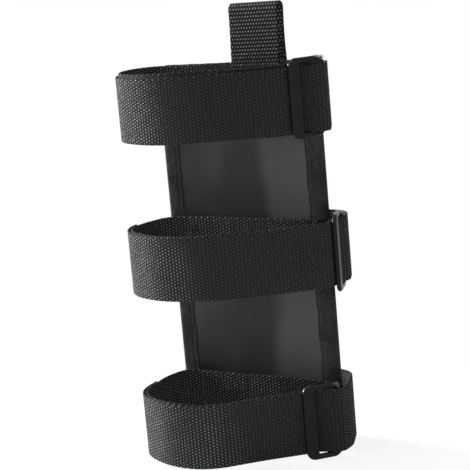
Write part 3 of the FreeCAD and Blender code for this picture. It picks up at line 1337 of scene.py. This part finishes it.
# Sub-assemblies
@dataclass
class StrapRow:
    """One row: the sewn strap, its tapes, the closing strap and the ring.

    The corners are read off the photograph and lie close to the solids': down the left side, across
    the front, on the right side and behind the pad. The ring's wide bar is at ring_at, and its round
    bar ring_turn degrees from +X. The closing strap lies lower by drop, and the ring by half of it.
    """

    name: str
    body: Body
    level: float
    drop: float
    left_side: list[Corner]
    front: list[Corner]
    ring_at: tuple[float, float]
    ring_turn: float
    right_side: list[Corner]
    back_run: Corner
    seed: int

    def __post_init__(self) -> None:
        """Works out the row's lines."""
        self.sewn_line = Line(self._sewn_corners())
        self.closing_line = Line(self._closing_corners())

    def ring_corner(self, reach: float, outward: float, radius: float = 0.0) -> Corner:
        """A corner placed from the ring's wide bar.

        Args:
            reach: how far it lies towards the round bar.
            outward: how far it lies out of the ring's plane.
            radius: the corner's radius.

        Returns:
            The corner.
        """
        turn = math.radians(self.ring_turn)
        direction = Vector((math.cos(turn), math.sin(turn)))
        spot = Vector(self.ring_at) + direction * reach + right_of(direction) * outward
        return Corner(spot.x, spot.y, radius)

    def through_ring(self) -> list[Corner]:
        """The sewn strap's way under the wide bar and out over the round bar."""
        return [self.ring_corner(-WEB.bar_lead, WEB.under_bar, WEB.approach_radius),
                self.ring_corner(WEB.under_bar_reach, WEB.under_bar, WEB.crossing_radius),
                self.ring_corner(WEB.ring_spacing - WEB.crossing_end, WEB.wrap_radius, WEB.crossing_radius)]

    def _sewn_corners(self) -> list[Corner]:
        """The sewn strap's corners.

        Returns:
            The corners, from its seam on the pad to its lap's end.
        """
        far_side = WEB.ring_spacing + WEB.wrap_radius
        run = WEB.ring_spacing - WEB.crossing_end - WEB.under_bar_reach
        slope = math.atan2(WEB.wrap_radius - WEB.under_bar, run)
        stack = WEB.layer_step / math.cos(slope)
        meeting = WEB.under_bar_reach + (stack - WEB.wrap_radius - WEB.under_bar) / math.tan(slope)
        lap_end = WEB.under_bar + (WEB.lap_reach - WEB.under_bar_reach) * math.tan(slope) - stack
        lap = [self.ring_corner(far_side, WEB.wrap_radius, WEB.wrap_radius),
               self.ring_corner(far_side, -WEB.wrap_radius, WEB.wrap_radius),
               self.ring_corner(meeting, -WEB.wrap_radius, WEB.crossing_radius),
               self.ring_corner(WEB.lap_reach, lap_end)]
        start = Corner(PAD.width / 2 - WEB.strap_inset, BASE_LINE)
        return [start] + self.left_side + self.front + self.through_ring() + lap

    def _closing_corners(self) -> list[Corner]:
        """The closing strap's corners.

        Returns:
            The corners, from its cut end to its seam on the pad's back.
        """
        way = self.through_ring()
        start = along(self.left_side[-1], self.front[0], WEB.free_end_back)
        past_tape = along(self.front[-1], way[0], WEB.hook_tape[1] + WEB.past_tape[0], WEB.past_tape[1])
        front = shifted([start] + self.front + [past_tape, way[0]], WEB.tail_shift)[:-1]
        over_ring = self.ring_corner(WEB.ring_spacing + WEB.past_bar, WEB.wrap_radius)
        over_loop = shifted([past_tape] + way + [over_ring], WEB.layer_step)[1:-1]
        over = WEB.wrap_radius + WEB.layer_step
        bar_turn = self.ring_corner(WEB.ring_spacing + WEB.past_bar, over, over)
        seam_start, seam_length, seam_radius = WEB.back_seam
        behind = [self.back_run, Corner(seam_start, BACK_LINE, seam_radius),
                  Corner(seam_start - seam_length, BACK_LINE)]
        return front + over_loop + [bar_turn] + self.right_side + behind

    def _tape_line(self, span: tuple[float, float], face: float) -> Line:
        """The middle of a tape that covers part of the sewn strap's line.

        Args:
            span: how far along its first and its last run it starts and ends.
            face: its inner face, from the sewn strap's middle.

        Returns:
            The line.
        """
        start = along(self.left_side[-1], self.front[0], span[0])
        end = along(self.front[-1], self.ring_corner(-WEB.bar_lead, WEB.under_bar), span[1])
        return Line(shifted([start] + self.front + [end], face + WEB.tape / 2))

    def build(self, shop: Workshop) -> None:
        """Makes and places every piece of the row.

        Args:
            shop: what they are made with.
        """
        self._sewn_strap(shop)
        self._closing_strap(shop)
        self._tapes(shop)
        self._ring(shop)

    def _sewn_strap(self, shop: Workshop) -> None:
        """The strap sewn across the pad's front, with its seams and lap.

        Args:
            shop: what it is made with.
        """
        line = self.sewn_line
        name = "front_strap_" + self.name
        seams = [line.near(Vector((x, BASE_LINE))) for x in WEB.front_seams]
        strip = Strip(line, self.level, WEB.width, WEB.thickness, pinches=tuple(seams))
        place(shop.weave(strip, name + "_woven"), Body.HOLDER, Slot.WEBBING, name)
        low, high = WEB.seam_margin, WEB.width - WEB.seam_margin
        lines = [[(seam, low), (seam, high)] for seam in seams + [seams[0] - WEB.double_seam]]
        source = strip.seam("seam", lines, Side.LEFT, STITCH_LIFT)
        place(shop.stitch(source, name + "_stitches", self.seed), Body.HOLDER, Slot.WEBBING)
        _, way = line.at(line.length)
        self._frayed(shop, strip, line.length, name + "_lap_fibres", way, LAP_END)

    def _closing_strap(self, shop: Workshop) -> None:
        """The closing strap, with its cut end and the box seam behind the pad.

        Args:
            shop: what it is made with.
        """
        line = self.closing_line
        name = "closing_strap_" + self.name
        near, far = line.length - WEB.back_seam[1] + 1.0, line.length - 2.5
        strip = Strip(line, self.level - self.drop, WEB.width, WEB.thickness, pinches=(near, far))
        place(shop.weave(strip, name + "_woven"), Body.HOLDER, Slot.WEBBING, name)
        source = strip.seam("box seam", box_stitch(near, far, WEB.width), Side.LEFT, STITCH_LIFT)
        place(shop.stitch(source, name + "_box_seam", self.seed + 3), Body.HOLDER, Slot.WEBBING)
        _, direction = line.at(0.0)
        way = right_of(direction) * 0.9 - direction
        self._frayed(shop, strip, 0.0, name + "_end_fibres", way, CUT_END)

    def _frayed(self, shop: Workshop, strip: Strip, distance: float, name: str, way: Vector,
                fibres: Fibres) -> None:
        """Fibres at a strap's end.

        Args:
            shop: what they are made with.
            strip: the strap.
            distance: where along its line they grow.
            name: the piece's name.
            way: the flat direction that they point.
            fibres: what they are like.
        """
        ends = [(distance, WEB.fray_margin), (distance, WEB.width - WEB.fray_margin)]
        source = strip.seam("cut end", [ends], Side.RIGHT, -WEB.thickness / 2, Vector((way.x, way.y, 0.0)))
        place(shop.fray(source, name, shop.palette.thread, fibres, self.seed), Body.HOLDER, Slot.WEBBING)

    def _tapes(self, shop: Workshop) -> None:
        """The loop and hook tapes between the two straps, with pile along their upper edges.

        Args:
            shop: what they are made with.
        """
        for label, span, face, low in (("loop_tape", WEB.loop_tape, WEB.loop_face, self.level),
                                       ("hook_tape", WEB.hook_tape, WEB.hook_face, self.level - self.drop)):
            line = self._tape_line(span, face)
            strip = Strip(line, low + WEB.tape_margin, WEB.width - 2 * WEB.tape_margin, WEB.tape,
                          along_step=3.0, across_step=3.0, edge_round=0.25)
            name = label + "_" + self.name
            tape = new_object(name + "_cloth", strip.mesh(name + "_cloth"), shop.palette.binding)
            place(tape, Body.HOLDER, Slot.TAPE, name)
            edge = [(0.0, strip.width), (line.length, strip.width)]
            source = strip.seam("tape edge", [edge], Side.RIGHT, -WEB.tape / 2, Vector((0.0, 0.0, 1.0)))
            fuzz = shop.fray(source, name + "_fuzz", shop.palette.pile, TAPE_FUZZ, self.seed + 5)
            place(fuzz, Body.HOLDER, Slot.TAPE)

    def _ring(self, shop: Workshop) -> None:
        """The moulded ring and the tuft of webbing fibres at its round bar.

        Args:
            shop: what they are made with.
        """
        place(Ring(self).piece(shop), self.body, Slot.RING, "ring_" + self.name)
        corner = self.ring_corner(WEB.ring_spacing - 1.0, 0.6)
        top = self.level + WEB.width + 0.2
        # Points on the lap's upper edge, each with the way that its fibres point.
        tuft = (((-2.4, -1.8), (0.15, -0.3, 1.0)), ((-0.6, -0.5), (0.0, -0.2, 1.0)),
                ((1.2, 0.9), (0.2, 0.1, 1.0)), ((2.6, 2.2), (0.3, 0.0, 1.0)))
        places = [Vector((corner.x + dx, corner.y + dy, top)) for (dx, dy), _ in tuft]
        source = line_object("tuft line", places, [(0, 1), (1, 2), (2, 3)], [Vector(way) for _, way in tuft])
        yarn = shop.palette.thread if self.drop else shop.palette.fray
        fibres = shop.fray(source, "ring_tuft_" + self.name, yarn, RING_TUFT, self.seed + 11)
        place(fibres, Body.HOLDER, Slot.WEBBING)


Station = tuple[Vector, Vector, float]


@dataclass
class Ring:
    """A moulded ring, lofted round its middle line from bar to bar.

    Its cross bars are higher than the solid's, inwards from the same outer edge. A bar's section is
    a rounded square, squarer and dished where it belongs to the wide bar.
    """

    row: StrapRow
    steps: int = 14
    facets: int = 36
    dish: float = 0.4
    dish_reach: float = 0.62
    cross_bar: float = 4.3
    squareness: float = 2.3
    wide_squareness: float = 1.5
    station_step: float = 3.0

    def outline(self) -> list[Station]:
        """The ring's outer and inner edges, flat.

        Returns:
            For each station the middle of the bar, half the way from the bar's inner to its outer edge,
            and how much of the wide bar it is.
        """
        high = WEB.width / 2 + WEB.window_play + WEB.cross_bar
        window_high = high - self.cross_bar
        left, right = -WEB.wide_bar / 2, WEB.ring_spacing + WEB.round_bar / 2
        window_left, window_right = WEB.wide_bar / 2, WEB.ring_spacing - WEB.round_bar / 2
        outer, inner = WEB.ring_corner, WEB.window_corner
        at_left = (left + outer, window_left + inner)
        at_right = (right - outer, window_right - inner)
        corners = [(*at_left, 1, 180.0), (*at_right, 1, 90.0), (*at_right, -1, 0.0), (*at_left, -1, -90.0)]
        stations = []
        for outer_x, inner_x, way, first in corners:
            outer_centre = Vector((outer_x, way * (high - outer)))
            inner_centre = Vector((inner_x, way * (window_high - inner)))
            for step in range(self.steps + 1):
                angle = math.radians(first - 90.0 * step / self.steps)
                out = Vector((math.cos(angle), math.sin(angle)))
                edge, window = outer_centre + out * outer, inner_centre + out * inner
                wide = 1.0 if outer_x < inner_x else 0.0
                stations.append(((edge + window) / 2, (edge - window) / 2, wide * abs(out.x) ** 3))
        return self._spread(stations)

    def _spread(self, corners: list[Station]) -> list[Station]:
        """Adds stations along the straight bars.

        Args:
            corners: the stations round the corners.

        Returns:
            All the stations, in order.
        """
        stations = []
        for index, station in enumerate(corners):
            stations.append(station)
            if index % (self.steps + 1) == self.steps:
                following = corners[(index + 1) % len(corners)]
                count = max(2, round((following[0] - station[0]).length / self.station_step))
                stations += [(station[0].lerp(following[0], share), station[1].lerp(following[1], share),
                              station[2] + (following[2] - station[2]) * share)
                             for share in (step / count for step in range(1, count))]
        return stations

    def piece(self, shop: Workshop) -> bpy.types.Object:
        """Makes the ring.

        Args:
            shop: what it is made with.

        Returns:
            The finished piece.
        """
        row = self.row
        turn = math.radians(row.ring_turn)
        run = Vector((math.cos(turn), math.sin(turn), 0.0))
        out = Vector((run.y, -run.x, 0.0))
        middle = row.level - row.drop / 2 + WEB.width / 2
        centre = Vector((*row.ring_at, middle))
        stations = self.outline()
        half_deep = WEB.ring_thickness / 2
        points = []
        for spot, half, wide in stations:
            power = 2 / (self.squareness + self.wide_squareness * wide)
            for facet in range(self.facets):
                angle = math.tau * (facet + 0.5) / self.facets
                flat, deep = math.cos(angle), math.sin(angle)
                across = math.copysign(abs(flat) ** power, flat)
                dish = self.dish * wide * max(0.0, 1.0 - (across / self.dish_reach) ** 2)
                depth = math.copysign(abs(deep) ** power, deep) * (half_deep - dish)
                place_flat = spot + half * across
                points.append(centre + run * place_flat.x + Vector((0, 0, 1)) * place_flat.y + out * depth)
        faces = []
        for index in range(len(stations)):
            base, after = index * self.facets, ((index + 1) % len(stations)) * self.facets
            for facet in range(self.facets):
                beside = (facet + 1) % self.facets
                faces.append((base + facet, base + beside, after + beside, after + facet))
        name = "ring_" + row.name + "_moulded"
        mesh = mesh_from(name, np.array([tuple(point) for point in points]), faces, {})
        return new_object(name, mesh, shop.palette.ring)


@dataclass
class Pad:
    """The stiff pad: board, vinyl covers, and binding folded over the edges.

    The covers' swell dies out over fade at their edges. The binding's stitches run seam_in from its
    inner edges, stitch_pitch apart.
    """

    step: float = 2.5
    fade: float = 12.0
    seam_in: float = 2.6
    stitch_pitch: float = 3.0
    corner_steps: int = 6

    def build(self, shop: Workshop) -> None:
        """Makes and places every piece of the pad.

        Args:
            shop: what they are made with.
        """
        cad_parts["pad_board"].data.materials.clear()
        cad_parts["pad_board"].data.materials.append(shop.palette.board)
        self._cover(shop, "pad_face", -1.0)
        self._cover(shop, "pad_back", 1.0)
        self._binding(shop)

    def _swell(self, x: float, z: float) -> float:
        """How far the cover stands off the board at a place.

        Args:
            x: the place across the pad.
            z: the place up the pad.

        Returns:
            The distance, in millimetres.
        """
        wide = math.sin(x * 0.041 + 0.7) * math.sin(z * 0.023 + 0.4)
        small = math.sin(x * 0.11 + z * 0.05) * math.sin(z * 0.083 - x * 0.02 + 1.3)
        return 0.22 * wide + 0.1 * small

    def _cover(self, shop: Workshop, node: str, way: float) -> None:
        """A vinyl cover, slightly uneven over the board.

        Args:
            shop: what it is made with.
            node: the solid that it stands for.
            way: -1 in front, 1 behind.
        """
        margin = PAD.binding
        half = PAD.width / 2 - margin
        tall = PAD.height - 2 * margin
        columns = round(2 * half / self.step)
        rows_up = round(tall / self.step)
        near = PAD.core_half - 1.0
        points, faces = [], []
        for outer in (False, True):
            for row in range(rows_up + 1):
                for column in range(columns + 1):
                    x = -half + 2 * half * column / columns
                    z = margin + tall * row / rows_up
                    inset = min(half - abs(x), z - margin, PAD.height - margin - z)
                    edge = min(inset / self.fade, 1.0)
                    deep = PAD.core_half + (self._swell(x, z) + 0.12) * edge if outer else near
                    points.append((x, way * deep, z))
        layer = (rows_up + 1) * (columns + 1)

        def number(depth_index: int, row: int, column: int) -> int:
            """The vertex at a place in the grid."""
            return depth_index * layer + row * (columns + 1) + column

        for row in range(rows_up):
            for column in range(columns):
                quad = [(row, column), (row, column + 1), (row + 1, column + 1), (row + 1, column)]
                faces.append([number(1, *spot) for spot in quad])
                faces.append([number(0, *spot) for spot in reversed(quad)])
        rim = [(0, column) for column in range(columns)] + [(row, columns) for row in range(rows_up)]
        rim += [(rows_up, column) for column in range(columns, 0, -1)]
        rim += [(row, 0) for row in range(rows_up, 0, -1)]
        for spot, after in zip(rim, rim[1:] + rim[:1]):
            faces.append([number(0, *spot), number(0, *after), number(1, *after), number(1, *spot)])
        if way > 0:
            faces = [face[::-1] for face in faces]
        mesh = mesh_from(node + "_vinyl", np.array(points), faces, {})
        place(new_object(node + "_vinyl", mesh, shop.palette.vinyl), Body.HOLDER, Slot.VINYL, node)

    def _rim(self) -> list[Station]:
        """The pad's edge line.

        Returns:
            For each place on it the place, the direction out of the pad and the distance along.
        """
        half, height, radius = PAD.width / 2, PAD.height, PAD.corner
        spots = []
        centres = [(half - radius, radius, -90.0), (half - radius, height - radius, 0.0),
                   (radius - half, height - radius, 90.0), (radius - half, radius, 180.0)]
        ends = []
        for x, z, first in centres:
            steps = range(self.corner_steps + 1)
            arc = [math.radians(first + 90.0 * step / self.corner_steps) for step in steps]
            ends.append([(Vector((x, z)), Vector((math.cos(a), math.sin(a)))) for a in arc])
        for arc, following in zip(ends, ends[1:] + ends[:1]):
            spots += [(centre + out * radius, out) for centre, out in arc]
            start, out = spots[-1]
            end = following[0][0] + following[0][1] * radius
            count = round((end - start).length / self.step)
            spots += [(start.lerp(end, index / count), out) for index in range(1, count)]
        distances = [0.0]
        for (a, _), (b, _) in zip(spots, spots[1:]):
            distances.append(distances[-1] + (b - a).length)
        return [(spot, out, distance) for (spot, out), distance in zip(spots, distances)]

    def _lap_at(self, distance: float) -> float:
        """How far the binding reaches in over the cover, a little uneven as sewn."""
        return PAD.lap + 0.35 * math.sin(distance * 0.21) + 0.2 * math.sin(distance * 0.53 + 1.0)

    def _profile(self, distance: float) -> list[tuple[float, float]]:
        """The binding's outline across, drawn in by its stitches and rippled at its fold.

        Args:
            distance: the place along the pad's edge.

        Returns:
            Pairs of the reach in over the pad and the depth, from its front lap round to its back one.
        """
        lap = self._lap_at(distance)
        seam, face = lap - self.seam_in, PAD.half
        pucker = 0.16 * math.cos(math.tau * distance / self.stitch_pitch)
        ripple = 0.18 * math.sin(distance * 0.37 + 0.6) + 0.12 * math.sin(distance * 0.91)
        front = [(lap, PAD.core_half + 0.02), (lap - 0.15, face - 0.25), (lap - 0.6, face - 0.05),
                 (seam + 0.8, face - 0.1 + pucker * 0.4), (seam, face - 0.38 + pucker * 0.3),
                 (seam - 0.8, face - 0.1 + pucker * 0.4), (seam - 2.4, face + 0.02),
                 (7.5, face + ripple * 0.4), (4.5, face + ripple * 0.6), (2.2, face + 0.05),
                 (0.9, face - 0.5), (0.25, face - 1.6), (-0.05 + ripple * 0.5, 0.0)]
        return front + [(reach, -deep) for reach, deep in reversed(front[:-1])]

    def _binding(self, shop: Workshop) -> None:
        """The binding tape, folded over all four edges, with its stitches.

        Args:
            shop: what it is made with.
        """
        rim = self._rim()
        points, along_values, across_values = [], [], []
        for spot, out, distance in rim:
            profile = self._profile(distance)
            walked = 0.0
            previous = profile[0]
            for reach, deep in profile:
                walked += math.hypot(reach - previous[0], deep - previous[1])
                previous = (reach, deep)
                flat = spot - out * reach
                points.append((flat.x, -deep, flat.y))
                along_values.append(distance)
                across_values.append(walked)
        count = len(points) // len(rim)
        faces = []
        for index in range(len(rim)):
            base, after = index * count, ((index + 1) % len(rim)) * count
            for step in range(count - 1):
                faces.append((base + step, after + step, after + step + 1, base + step + 1))
            faces.append((base + count - 1, after + count - 1, after, base))
        measures = {"along": np.array(along_values), "across": np.array(across_values)}
        mesh = mesh_from("pad_binding_tape", np.array(points), faces, measures)
        tape = new_object("pad_binding_tape", mesh, shop.palette.binding)
        place(tape, Body.HOLDER, Slot.BINDING, "pad_binding")
        edges = [(index, (index + 1) % len(rim)) for index in range(len(rim))]
        for label, way in (("front", -1.0), ("back", 1.0)):
            flats = [spot - out * (self._lap_at(distance) - self.seam_in) for spot, out, distance in rim]
            places = [Vector((flat.x, way * (PAD.half - 0.3), flat.y)) for flat in flats]
            source = line_object("binding seam", places, edges, [Vector((0.0, way, 0.0))] * len(places))
            stitches = shop.stitch(source, "binding_stitches_" + label, 21, self.stitch_pitch, 2.3)
            place(stitches, Body.HOLDER, Slot.BINDING)


@dataclass
class CarryHandle:
    """The folded webbing loop over the pad's top edge.

    Each end has a box seam, between its two distances from the end.
    """

    width: float = 43.0
    left: float = 1.0
    rise: float = 45.0
    seam: float = 30.0
    box: tuple[float, float] = (4.0, 22.0)

    def build(self, shop: Workshop) -> None:
        """Makes and places the loop and its seams.

        Args:
            shop: what they are made with.
        """
        front = BASE_LINE - WEB.thickness
        low = PAD.height - self.seam
        high = PAD.height + self.rise - WEB.thickness / 2
        radius = (BACK_LINE - front) / 2 - WEB.layer_gap
        line = Line([Corner(BACK_LINE, low), Corner(BACK_LINE, high, radius), Corner(front, high, radius),
                     Corner(front, low)])
        near, far = self.box
        boxes = [(near, far), (line.length - far, line.length - near)]
        strip = Strip(line, self.left, self.width, WEB.thickness, Plane.PROFILE, pinches=boxes[0] + boxes[1],
                      wave=0.5, wave_length=80.0)
        place(shop.weave(strip, "carry_handle_woven"), Body.HOLDER, Slot.WEBBING, "carry_handle")
        lines = [line_of for box in boxes for line_of in box_stitch(*box, self.width)]
        source = strip.seam("handle seam", lines, Side.RIGHT, STITCH_LIFT)
        place(shop.stitch(source, "carry_handle_stitches", 31), Body.HOLDER, Slot.WEBBING)


# Stage
def seen_rays(nodes: Nodes) -> Socket:
    """How far a ray comes from the camera, or through a glossy or clear surface.

    Args:
        nodes: the tree that it is worked out in.

    Returns:
        1 for such a ray and 0 for any other.
    """
    rays = nodes.add("ShaderNodeLightPath").outputs
    mirrored = nodes.math("MAXIMUM", rays["Is Glossy Ray"], rays["Is Transmission Ray"])
    return nodes.math("MAXIMUM", rays["Is Camera Ray"], mirrored)


@dataclass
class Studio:
    """The pale floor, the soft lamps and the camera."""

    azimuth: float = 32.0
    elevation: float = 10.87
    roll: float = -5.01
    distance: float = 1.150
    look: tuple[float, float, float] = (-0.0115, -0.0033, 0.169)
    lens: float = 111.2
    floor_gap: float = 0.0008
    ambient: float = 0.22
    shadow_reach: tuple[float, float] = (0.08, 0.3)

    def build(self) -> None:
        """Makes the stage, lamps and camera."""
        self._view()
        self._floor()
        self._world()
        self._lamp("key lamp", (-1.4, 0.05, 0.5), 0.45, 88.0)
        self._lamp("fill lamp", (1.3, -0.9, 0.7), 0.9, 5.5)
        self._lamp("top lamp", (-0.35, -0.15, 1.6), 0.6, 17.0)

    def _view(self) -> None:
        """The camera, turned as the photograph was."""
        a, e, roll = (math.radians(angle) for angle in (self.azimuth, self.elevation, self.roll))
        right = Vector((math.cos(a), math.sin(a), 0.0))
        back = Vector((math.sin(a) * math.cos(e), -math.cos(a) * math.cos(e), math.sin(e)))
        up = back.cross(right)
        leant = right * math.cos(roll) + up * math.sin(roll)
        axes = (leant, up * math.cos(roll) - right * math.sin(roll), back)
        data = bpy.data.cameras.new("camera")
        data.lens = self.lens
        data.sensor_width = 36.0
        camera = bpy.data.objects.new("camera", data)
        bpy.context.collection.objects.link(camera)
        stand = Matrix.Translation(Vector(self.look) + back * self.distance)
        camera.matrix_world = stand @ Matrix(axes).transposed().to_4x4()
        bpy.context.scene.camera = camera
        bpy.context.scene.view_settings.view_transform = "Standard"

    def _floor(self) -> None:
        """A wide white floor that keeps the object's shadow."""
        bpy.ops.mesh.primitive_plane_add(size=8.0, location=(0.0, 0.0, -self.floor_gap))
        floor = bpy.context.object
        floor.name = "floor"
        material = bpy.data.materials.new("white floor")
        material.use_nodes = True
        nodes = Nodes(material.node_tree)
        shader = material.node_tree.nodes["Principled BSDF"]
        shader.inputs["Base Color"].default_value = grey(0.85)
        shader.inputs["Roughness"].default_value = 0.9
        spot = nodes.add("ShaderNodeTexCoord").outputs["Object"]
        reach = nodes.add("ShaderNodeVectorMath", {0: spot}, operation="LENGTH").outputs["Value"]
        share = nodes.ramp(reach, self.shadow_reach[0], self.shadow_reach[1], 0.86, 1.0)
        glow = nodes.add("ShaderNodeEmission", {"Color": grey(1.0), "Strength": 1.0})
        mix = nodes.add("ShaderNodeMixShader", {0: nodes.times(seen_rays(nodes), share), 1: shader.outputs[0],
                                                2: glow.outputs[0]})
        nodes.feed(material.node_tree.nodes["Material Output"].inputs["Surface"], mix.outputs[0])
        floor.data.materials.append(material)

    def _world(self) -> None:
        """White where the camera looks, and a soft grey light elsewhere."""
        world = bpy.data.worlds.new("studio")
        bpy.context.scene.world = world
        world.use_nodes = True
        nodes = Nodes(world.node_tree)
        soft = nodes.add("ShaderNodeBackground", {"Color": grey(1.0), "Strength": self.ambient})
        white = nodes.add("ShaderNodeBackground", {"Color": grey(1.0), "Strength": 1.0})
        mix = nodes.add("ShaderNodeMixShader", {0: seen_rays(nodes), 1: soft.outputs[0], 2: white.outputs[0]})
        nodes.feed(world.node_tree.nodes["World Output"].inputs["Surface"], mix.outputs[0])

    def _lamp(self, name: str, spot: tuple[float, float, float], size: float, power: float) -> None:
        """A soft square lamp that looks at the object.

        Args:
            name: the lamp's name.
            spot: where it is, in metres.
            size: its side.
            power: its strength in watts.
        """
        data = bpy.data.lights.new(name, "AREA")
        data.size = size
        data.energy = power
        lamp = bpy.data.objects.new(name, data)
        bpy.context.collection.objects.link(lamp)
        lamp.location = spot
        lamp.rotation_euler = (Vector(self.look) - Vector(spot)).to_track_quat("-Z", "Y").to_euler()


def rows() -> list[StrapRow]:
    """The three rows.

    Returns:
        The rows, from the bottom up.
    """
    left = -PAD.width / 2
    edge = Corner(left, BASE_LINE, 14.0)
    return [
        StrapRow("bottom", Body.BOTTOM_RING, 5.0, 0.0,
                 [Corner(left + 5, BASE_LINE, 14.0), Corner(-73, -28, 55)],
                 [Corner(-69, -71.5, 36), Corner(-34, -89, 60), Corner(0, -88, 46)], (61.17, -34.0), 48.0,
                 [Corner(82, -7, 28), Corner(69, 26, 22)], Corner(14, 34, 70), 3),
        StrapRow("middle", Body.MIDDLE_RING, 133.5, 0.0, [edge, Corner(-77, -28, 50)],
                 [Corner(-75, -64, 34), Corner(-34, -80, 72), Corner(2, -77.5, 50)], (81.83, -9.35), 109.0,
                 [Corner(70, 34, 15)], Corner(14, 36, 70), 5),
        StrapRow("top", Body.TOP_RING, 255.0, 3.0, [edge, Corner(-78, -28, 40)],
                 [Corner(-75.2, -58, 31), Corner(-36, -72.5, 95), Corner(0, -71.5, 52)],
                 (66.84, -28.26), 61.5,
                 [Corner(80, -2, 20), Corner(66, 26, 20)], Corner(14, 33, 70), 8),
    ]


def main() -> None:
    """Builds the pad, the handle, the rows and the studio, and notes the sizes."""
    logging.basicConfig(level=logging.INFO, format="%(message)s")
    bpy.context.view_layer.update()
    shop = Workshop(Palette(), Recipes())
    Studio().build()
    Pad().build(shop)
    CarryHandle().build(shop)
    for row in rows():
        row.build(shop)


if __name__ == "__main__":
    main()
